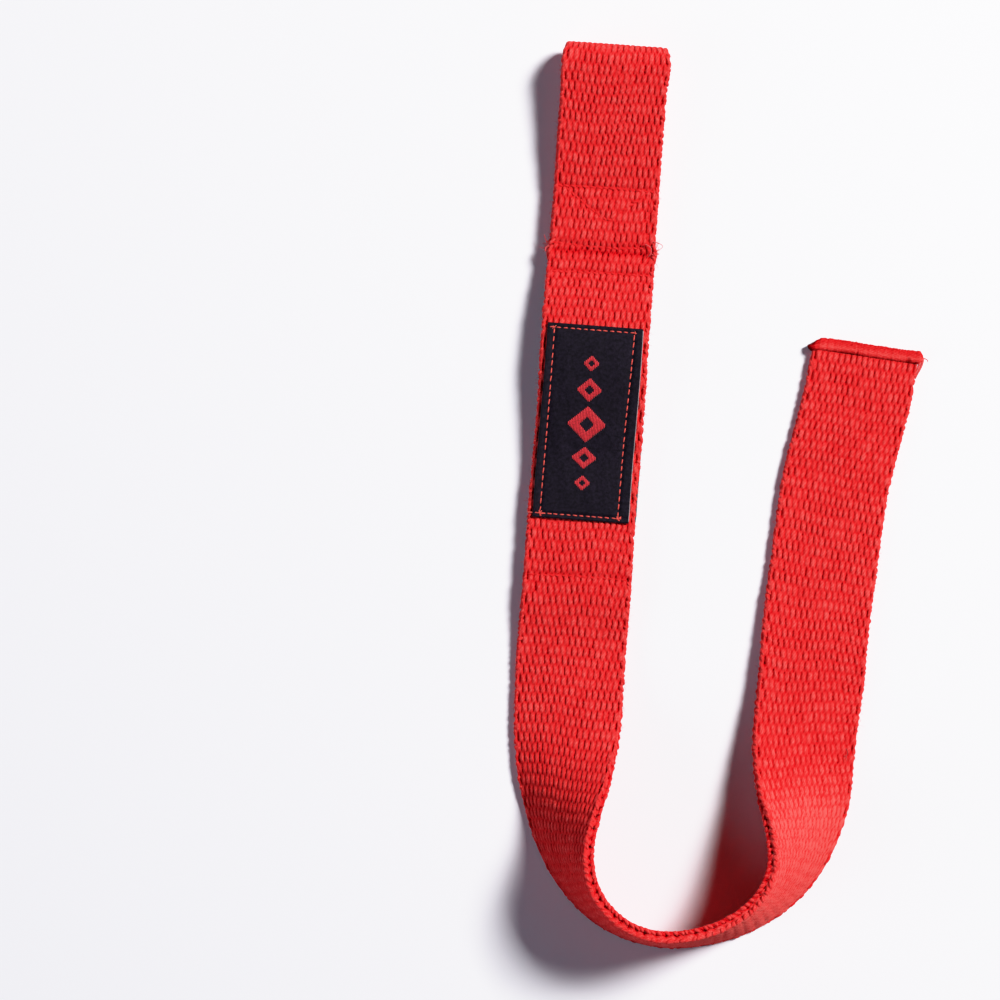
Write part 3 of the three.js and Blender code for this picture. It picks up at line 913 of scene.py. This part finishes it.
def stitches_along(points, pitch, share, slant, rng):
    """Starts and ends of stitches at an even pitch along a line of (distance, across) points.
    Each fills a share of the pitch and turns a little across the line."""
    legs = np.hypot(*np.diff(points, axis=0).T)
    walked = np.concatenate([[0], np.cumsum(legs)])
    count = max(1, int(walked[-1] / pitch))
    at = (np.arange(count) + 0.5) * walked[-1] / count + rng.normal(0, 0.05 * pitch, count)
    half = share * pitch / 2 * rng.uniform(0.85, 1.12, count)
    a, b = (
        np.stack([np.interp(t, walked, points[:, i]) for i in (0, 1)], axis=1)
        for t in (at - half, at + half)
    )
    normal = unit((b - a)[:, ::-1] * [1, -1])
    tilt = (slant + rng.normal(0, 0.04 * MM, count))[:, None]
    return a - normal * tilt, b + normal * tilt


def make_label_patch(path, material):
    """The label's cloth: a thin slab up to the label's height, its ends rounded off."""
    sizes = path.sizes
    share = np.linspace(0, 1, 210)[:, None]
    run = share * sizes.label_length
    base = sizes.thickness / 2 - 0.1 * MM
    outline = rounded_slab(0.5, 0.0, 1.0, 0.012, 110, 7)
    left, right = label_edges(share, sizes)
    across = (left + right) / 2 + (right - left) * outline[0]
    distance = LABEL_START + run
    top = label_height(distance, across, sizes)
    end = np.minimum(run, sizes.label_length - run)
    close = np.sqrt(np.clip(end / (0.5 * MM), 0.04, 1))
    high = base + (top - base) * (0.5 + (outline[1] - 0.5) * close)
    rings = path.place(distance + path.laid_start, across, high)
    label = put_tube("label_patch", rings, uv_places(across, distance))
    finish_piece(label, material, "label_cloth", "label")


def make_label_motif(path, material):
    """The motif's bars as short threads raised on the label's face."""
    start, finish, row = (bars * MM for bars in label_motif_bars())
    a, b = (np.stack([bars + LABEL_START, row - 0.9 * MM], axis=1) for bars in (start, finish))
    line, up = surface_thread(path, a, b, label_height, 9, 0.10 * MM, 0.06 * MM)
    put_threads("label_motif", [(line, up, 0.24 * MM)], material, "label_cloth", 8)


def make_label_stitches(path, material):
    """Running stitch down both sides and across both ends of the label, and a small tuft of
    thread ends at each of its corners."""
    sizes, rng = path.sizes, np.random.default_rng(51)
    share = np.linspace(0, 1, 40)
    left, right = label_stitch_lines(share)
    along = LABEL_START + HEM_START + share * (sizes.label_length - HEM_START - HEM_END)
    top_row = [[along[0], left[0] - 2.0 * MM], [along[0], right[0] + 0.5 * MM]]
    end_row = [[along[-1], left[-1] - 4.4 * MM], [along[-1], right[-1] + 1.8 * MM]]
    lines = [(np.stack([along, side], 1), LABEL_STITCH, 0.80, 0.10 * MM) for side in (left, right)]
    lines += [(np.array(row), 2.2 * MM, 0.74, 0.03 * MM) for row in (top_row, end_row)]
    bundles = []
    for points, pitch, part, slant in lines:
        a, b = stitches_along(points, pitch, part, slant, rng)
        line, up = surface_thread(path, a, b, label_height, 9, 0.45 * MM, 0.12 * MM)
        bundles.append((line, up, sizes.thread / 2))
    tufts = ((-1, right, 9, 1.5), (-1, left, 9, 1.4), (0, left, 5, 1.0), (0, right, 5, 0.9))
    for corner, side, count, reach in tufts:
        centre = np.array([along[corner], side[corner]])
        angle = rng.uniform(0, 2 * math.pi, count)
        out = np.stack([np.cos(angle), np.sin(angle)], 1) * rng.uniform(0.4, 1.0, (count, 1)) * reach * MM
        a, b = centre - out * 0.4, centre + out
        bundles.append((*surface_thread(path, a, b, label_height, 7, 0.1 * MM, 0.35 * MM), 0.13 * MM))
    put_threads("label_stitches", bundles, material, "binding_thread")


def make_label_edge_highlight(path, material):
    """Painted highlight: one grey yarn along the right edge of the label, standing for the light caught
    by its folded edge.
    """
    share = np.linspace(0.01, 0.99, 80)
    along = path.laid_start + LABEL_START + share * path.sizes.label_length
    right = label_edges(share, path.sizes)[1] - 0.05 * MM + 0.04 * MM * drift(share, 0, 0.06, 52)
    half = path.sizes.thickness / 2
    rim, above = (path.place(along, right, half + high * MM) for high in (0.82, 1.82))
    edge = (rim[None], unit(above - rim)[None], 0.17 * MM)
    put_threads("label_edge_highlight", [edge], material, "label_cloth")


class STRAP_OT_label(bpy.types.Operator):
    """Make the woven label on top of the webbing, with its motif and its running stitch"""

    bl_idname = "strap.label"
    bl_label = "Label"

    def execute(self, context):
        path, colours = strap_path(context), context.scene.strap_colours
        make_label_patch(path, label_material(colours))
        make_label_motif(path, thread_material("woven_motif_red", colours.motif, 0.55))
        make_label_stitches(path, thread_material("label_stitch_thread", colours.thread, 0.6))
        # a grey yarn as a painted highlight on the label's right edge
        make_label_edge_highlight(path, thread_material("label_edge_highlight_grey", (0.30, 0.25, 0.27), 0.6))
        return {"FINISHED"}


# Seams and the free end


def seam_height(distance, across, sizes):
    """Height of a seam's thread over the webbing's middle, down in the groove that it pulls."""
    return sizes.thickness / 2 - 0.62 * MM - 0.85 * press_depth(distance, across, False)


def make_seams(path, material):
    """Stitches along every seam, each with its own thickness."""
    bundles, rng = [], np.random.default_rng(61)
    for places, _ in seam_lines():
        a, b = stitches_along(places, 2.3 * MM, 0.9, 0.10 * MM, rng)
        line, up = surface_thread(path, a, b, seam_height, 9, 0.5 * MM, 0.22 * MM)
        bundles.append((line, up, rng.uniform(0.95, 1.35, (len(a), 1)) * path.sizes.thread))
    # back=0.62 keeps the seam threads' crest value low, so the cotton material paints them darker than
    # the webbing's crests, with painted shade on their lower side
    put_threads("seam_stitches", bundles, material, "binding_thread", back=0.62)


class STRAP_OT_seams(bpy.types.Operator):
    """Sew the end loop and both ends of the pad through the webbing"""

    bl_idname = "strap.seams"
    bl_label = "Seams"

    def execute(self, context):
        make_seams(strap_path(context), cotton_material(context.scene.strap_colours))
        return {"FINISHED"}


def make_end_bar(path, material):
    """The overcast bar: one rounded square section carried across the free end, grooved
    between its threads, thinner at both ends and folded back a little at the right one."""
    count, points_a_thread, corner_power = 98, 5, 3.4
    pitch = (path.sizes.width + 3.0 * MM) / count
    threads = np.arange(count * points_a_thread + 1)[:, None] / points_a_thread
    v = (threads - count / 2) * pitch + 0.4 * MM
    angle = 2 * math.pi * np.arange(32) / 32
    c, s = np.cos(angle), np.sin(angle)
    chance = np.random.default_rng(71).normal(0, 0.04, count + 1)
    lumps = np.interp(threads, np.arange(count + 1), chance)
    groove = 0.19 * MM * (1 - np.abs(np.cos(math.pi * threads)))
    end = np.minimum(threads, count - threads) * pitch
    taper = np.sqrt(np.clip(end / (1.6 * MM), 0.06, 1))
    gap = 0.45 * bell(v, 3.4 * MM, 0.35 * MM) + 0.75 * bell(v, -14.6 * MM, 0.8 * MM)
    gap = gap * np.clip(-c, 0, 1) * np.clip(s, 0, 1)
    power = (np.abs(c) ** corner_power + np.abs(s) ** corner_power) ** (-1 / corner_power)
    deep = 1.85 * MM * taper * (1 + lumps) * power - groove
    tall = 2.08 * MM * taper * (1 + 0.5 * lumps) * power - groove
    folded = ease((v - 16.0 * MM) / (4.6 * MM))
    forward = 1.75 * MM + c * deep * np.where(c < 0, 1.1, 1.50 - 1.1 * folded) + gap * 1.6 * MM
    forward = forward - 0.7 * MM * folded + 0.16 * MM * drift(v, 0, 9 * MM, 72)
    high = 0.20 * MM + s * tall * (1 - 0.44 * gap)
    point, ahead, across, out = (x[0] for x in path.at(path.length))
    place = point + across * v[..., None] + ahead * forward[..., None] + out * high[..., None]
    # Painted light on the bar, carried by both crest and tone: a painted highlight along its middle,
    # painted shade in the grooves between its threads, in the gaps, on its side towards the webbing and
    # on the folded end; the lumps vary it at random.
    shade = 0.50 * bell(c, -0.15, 0.45) + (0.62 - 3.4 * groove / MM + 2.0 * lumps)
    shade = shade - 0.5 * gap - 0.35 * np.clip(-c - 0.5, 0, 1) - 0.8 * folded
    uv = uv_places(angle * 2.5 * MM, v)
    # rings run against the way across, so that forward turns anticlockwise into high
    place, shade, uv = place[::-1], shade[::-1], uv[::-1]
    bar = put_tube("end_overcast", place, uv, {"crest": shade, "tone": shade})
    finish_piece(bar, material, "binding_thread", "end_binding")


class STRAP_OT_end_binding(bpy.types.Operator):
    """Close the free end with its dense bar of overcast thread"""

    bl_idname = "strap.end_binding"
    bl_label = "Overcast end"

    def execute(self, context):
        make_end_bar(strap_path(context), cotton_material(context.scene.strap_colours))
        return {"FINISHED"}


# Loose thread and fluff


def curled_fibres(start, way, up, reach, radius, rng, steps, curl):
    """Short fibres that leave start along way and curl: each bends evenly to one side by a
    random amount while it rises or falls a little."""
    share = np.linspace(0, 1, steps)[None, :, None]
    bend = rng.normal(0, curl, (len(start), 1, 1)) * share**2
    lift = rng.normal(0, 0.25 * curl, (len(start), 1, 1)) * share**2
    way, side, up = (part[:, None, :] for part in (way, unit(np.cross(way, up)), up))
    line = start[:, None, :] + reach[:, None, None] * (share * way + bend * side + lift * up)
    line[..., 2] = np.maximum(line[..., 2], 0.06 * MM)
    return line, up, radius * (1 - 0.6 * share[..., 0])


def bow_threads(path, bows):
    """Middle lines, upward directions and radii of single yarns. Each bow runs from its first
    place to its last, drawn towards the one between: along, across and high in mm."""
    share = np.linspace(0, 1, 12)[:, None]
    places = np.array([bow[:3] for bow in bows])[:, :, None, :] * MM
    line = (1 - share) ** 2 * places[:, 0] + 2 * share * (1 - share) * places[:, 1]
    line = line + share**2 * places[:, 2]
    along, across, high = line.reshape(-1, 3, 1).transpose(1, 0, 2)
    point, ahead, side, out = path.at(np.clip(along[:, 0], 0, path.length))
    place = point + side * across + out * high + ahead * np.clip(along - path.length, 0, None)
    size = np.array([bow[3] for bow in bows])[:, None] * MM * (1 - 0.45 * share[:, 0])
    return place.reshape(line.shape), out.reshape(line.shape), size


def make_fluff(path, material, rng):
    """Short fibres all over the webbing: more than half along its edges, the rest on its faces."""
    count = FLUFF_COUNT
    along = rng.uniform(0, path.length, count)
    edge = rng.random(count) < 0.6
    across = np.where(edge, np.sign(rng.uniform(-1, 1, count)) * 18.6, rng.uniform(-18, 18, count)) * MM
    face = np.where(edge, rng.uniform(-0.6, 0.9, count), np.where(rng.random(count) < 0.75, 0.9, -0.9))
    moved = across * narrowing(along, path) + sideways(along / path.sizes.row_pitch)
    start = path.place(along, moved, face * path.sizes.thickness / 2)
    _, forward, side, out = path.at(along)
    lean = rng.normal(0, 0.9, (count, 1))
    outward = np.where(edge[:, None], side * np.sign(across)[:, None], out * np.sign(face)[:, None])
    way = outward * np.where(edge, 0.8, 0.35)[:, None] + forward * lean
    way = unit(way + side * rng.normal(0, 0.4, (count, 1)))
    reach = rng.uniform(0.35, 1.3, count) * MM
    up = unit(out + 0.01 * forward)
    fluff = curled_fibres(start, way, up, reach, 0.05 * MM, rng, 4, 0.6)
    put_threads("cotton_fluff", [fluff], material, "webbing_cotton", 3)


def make_tufts(path, material, rng):
    """Frayed yarn at both edges of the cut end, which shows past the loop's last seam."""
    count = TUFT_COUNT
    side_of = np.where(rng.random(count) < 0.5, -1.0, 1.0)
    across = side_of * rng.uniform(16.5, 18.7, count) * MM
    high = rng.uniform(0.6, 5.2, count) * MM
    along = path.laid_start + (63.5 + rng.uniform(-1.5, 2.0, count)) * MM
    point, forward, side, out = path.at(along)
    start = point + side * across[:, None]
    start[:, 2] = high
    way = side * side_of[:, None] * 0.9 + forward * rng.normal(0.35, 0.6, (count, 1))
    way = unit(way + out * rng.normal(0, 0.3, (count, 1)))
    reach = rng.uniform(0.7, 2.4, count) * MM
    tufts = curled_fibres(start, way, out, reach, 0.15 * MM, rng, 7, 1.3)
    put_threads("frayed_yarn", [tufts], material, "webbing_cotton", 5)


def make_single_yarns(path, material):
    """Loose yarns at the loop's seam and at the bar, and two dark fibres caught in the weave."""
    end, seam = path.length / MM, path.laid_start / MM
    yarns = [
        ((seam + 60.4, 17.6, 1.8), (seam + 61.4, 24.2, 3.4), (seam + 63.9, 17.9, 1.2), 0.14),
        ((seam + 61.5, 14.8, 2.1), (seam + 62.6, 18.8, 3.6), (seam + 66.0, 16.0, 1.6), 0.22),
        ((seam + 62.8, 18.4, 0.6), (seam + 66.2, 20.6, 1.6), (seam + 64.6, 17.2, 1.4), 0.26),
        ((seam + 64.0, -18.4, 0.6), (seam + 65.4, -21.4, 0.8), (seam + 66.8, -18.2, 0.4), 0.26),
        ((end + 2.4, -19.4, 0.3), (end + 2.2, -22.0, 0.9), (end + 1.2, -21.6, 0.6), 0.22),
        ((end + 2.2, -19.6, 0.8), (end + 0.2, -20.2, 0.6), (end - 4.0, -18.4, 0.2), 0.62),
        ((end + 1.8, -19.0, -0.2), (end - 0.2, -19.6, -0.2), (end - 5.0, -18.2, -0.2), 0.66),
        ((end + 1.8, -18.6, 1.3), (end - 0.2, -19.2, 1.1), (end - 3.6, -17.8, 0.8), 0.55),
    ]
    fibres = [
        ((end - 139.6, -15.0, 2.1), (end - 141.2, -16.2, 2.5), (end - 142.6, -15.3, 2.1), 0.11),
        ((end - 142.2, -14.7, 2.1), (end - 143.4, -15.9, 2.4), (end - 144.4, -15.5, 2.1), 0.10),
    ]
    dark = thread_material("dark_fibre", (0.02, 0.008, 0.01), 0.8)
    put_threads("loose_yarn", [bow_threads(path, yarns)], material, "webbing_cotton")
    put_threads("caught_fibres", [bow_threads(path, fibres)], dark, "webbing_cotton")


class STRAP_OT_loose_threads(bpy.types.Operator):
    """Scatter cotton fluff and single yarns, and fray the cut end below the loop's seam"""

    bl_idname = "strap.loose_threads"
    bl_label = "Loose threads"

    def execute(self, context):
        path, rng = strap_path(context), np.random.default_rng(81)
        tone = shaded(context.scene.strap_colours.cotton, 1.05, 0.03)
        material = thread_material("cotton_fibre", tone, 0.8)
        make_fluff(path, material, rng)
        make_tufts(path, material, rng)
        make_single_yarns(path, material)
        return {"FINISHED"}


# Table, light and camera


def add_softbox(scene, name, way, distance, size, power, tone):
    """Square soft light in a direction from the strap, turned to face it."""
    light = bpy.data.lights.new(name, "AREA")
    light.shape, light.size = "SQUARE", size
    light.energy, light.color = power, tone
    lamp = bpy.data.objects.new(name, light)
    way = Vector(way).normalized()
    lamp.location = way * distance + Vector((-0.06, 0.0, 0.0))
    lamp.rotation_mode = "QUATERNION"
    lamp.rotation_quaternion = way.to_track_quat("Z", "Y")
    scene.collection.objects.link(lamp)


def set_tones(scene):
    """Plain colours, with a shoulder that keeps the bright table just under white."""
    view = scene.view_settings
    view.view_transform = "Standard"
    view.look = "None"
    view.use_curve_mapping = True
    mapping = view.curve_mapping
    mapping.white_level = (2.0, 2.0, 2.0)
    curve = mapping.curves[3]
    tones = [(0.0, 0.0), (0.25, 0.25), (0.5, 0.5), (0.75, 0.73), (1.0, 0.885), (1.3, 0.96), (2.0, 0.98)]
    while len(curve.points) < len(tones):
        curve.points.new(0.5, 0.5)
    for point, (light, shown) in zip(curve.points, tones):
        point.location = (light / 2.0, shown)
    mapping.update()


class STRAP_OT_stage(bpy.types.Operator):
    """Set out the table, the lights and the camera that looks straight down"""

    bl_idname = "strap.stage"
    bl_label = "Stage"

    def execute(self, context):
        scene = context.scene
        reach = 2.5
        corners = np.array([[-1, -1], [1, -1], [1, 1], [-1, 1]]) * reach
        points = np.column_stack([corners, np.zeros(4)])
        table = put_mesh("table_top", points, [np.array([[0, 1, 2, 3]])])
        table.data.materials.append(floor_material(scene.strap_colours))
        add_softbox(scene, "key_softbox", (0.85, 0.55, 1.0), 2.4, 0.62, 98.0, (1.0, 0.985, 0.975))
        add_softbox(scene, "low_fill", (-1.0, -0.4, 0.45), 2.0, 1.2, 13.0, (0.78, 0.79, 1.0))
        world = bpy.data.worlds.new("studio")
        world.use_nodes = True
        back = world.node_tree.nodes["Background"]
        back.inputs["Color"].default_value = (0.86, 0.88, 1.0, 1.0)
        back.inputs["Strength"].default_value = 0.012
        scene.world = world
        set_tones(scene)
        view = bpy.data.cameras.new("overhead")
        view.sensor_width = 36.0
        view.lens = 92.05
        view.clip_start, view.clip_end = 0.05, 20.0
        eye = bpy.data.objects.new("overhead", view)
        eye.location = (-0.0767, -0.0015, 0.900)
        scene.collection.objects.link(eye)
        scene.camera = eye
        return {"FINISHED"}


class STRAP_PT_panel(bpy.types.Panel):
    """Lists the steps that build the strap"""

    bl_label = "Weightlifting strap"
    bl_idname = "STRAP_PT_panel"
    bl_space_type = "VIEW_3D"
    bl_region_type = "UI"
    bl_category = "Strap"

    def draw(self, context):
        for group in (context.scene.strap_sizes, context.scene.strap_colours):
            for key in group.bl_rna.properties.keys():
                if key not in ("rna_type", "name"):
                    self.layout.prop(group, key)
        for operator in OPERATORS:
            self.layout.operator(operator.bl_idname)


OPERATORS = (
    STRAP_OT_webbing,
    STRAP_OT_wrist_pad,
    STRAP_OT_label,
    STRAP_OT_seams,
    STRAP_OT_end_binding,
    STRAP_OT_loose_threads,
    STRAP_OT_stage,
)
CLASSES = (StrapSizes, StrapColours, *OPERATORS, STRAP_PT_panel)


def register():
    for item in CLASSES:
        bpy.utils.register_class(item)
    bpy.types.Scene.strap_sizes = bpy.props.PointerProperty(type=StrapSizes)
    bpy.types.Scene.strap_colours = bpy.props.PointerProperty(type=StrapColours)


def unregister():
    del bpy.types.Scene.strap_colours
    del bpy.types.Scene.strap_sizes
    for item in reversed(CLASSES):
        bpy.utils.unregister_class(item)


def main():
    register()
    bpy.ops.strap.webbing()
    bpy.ops.strap.wrist_pad()
    bpy.ops.strap.label()
    bpy.ops.strap.seams()
    bpy.ops.strap.end_binding()
    bpy.ops.strap.loose_threads()
    bpy.ops.strap.stage()


if __name__ == "__main__":
    main()
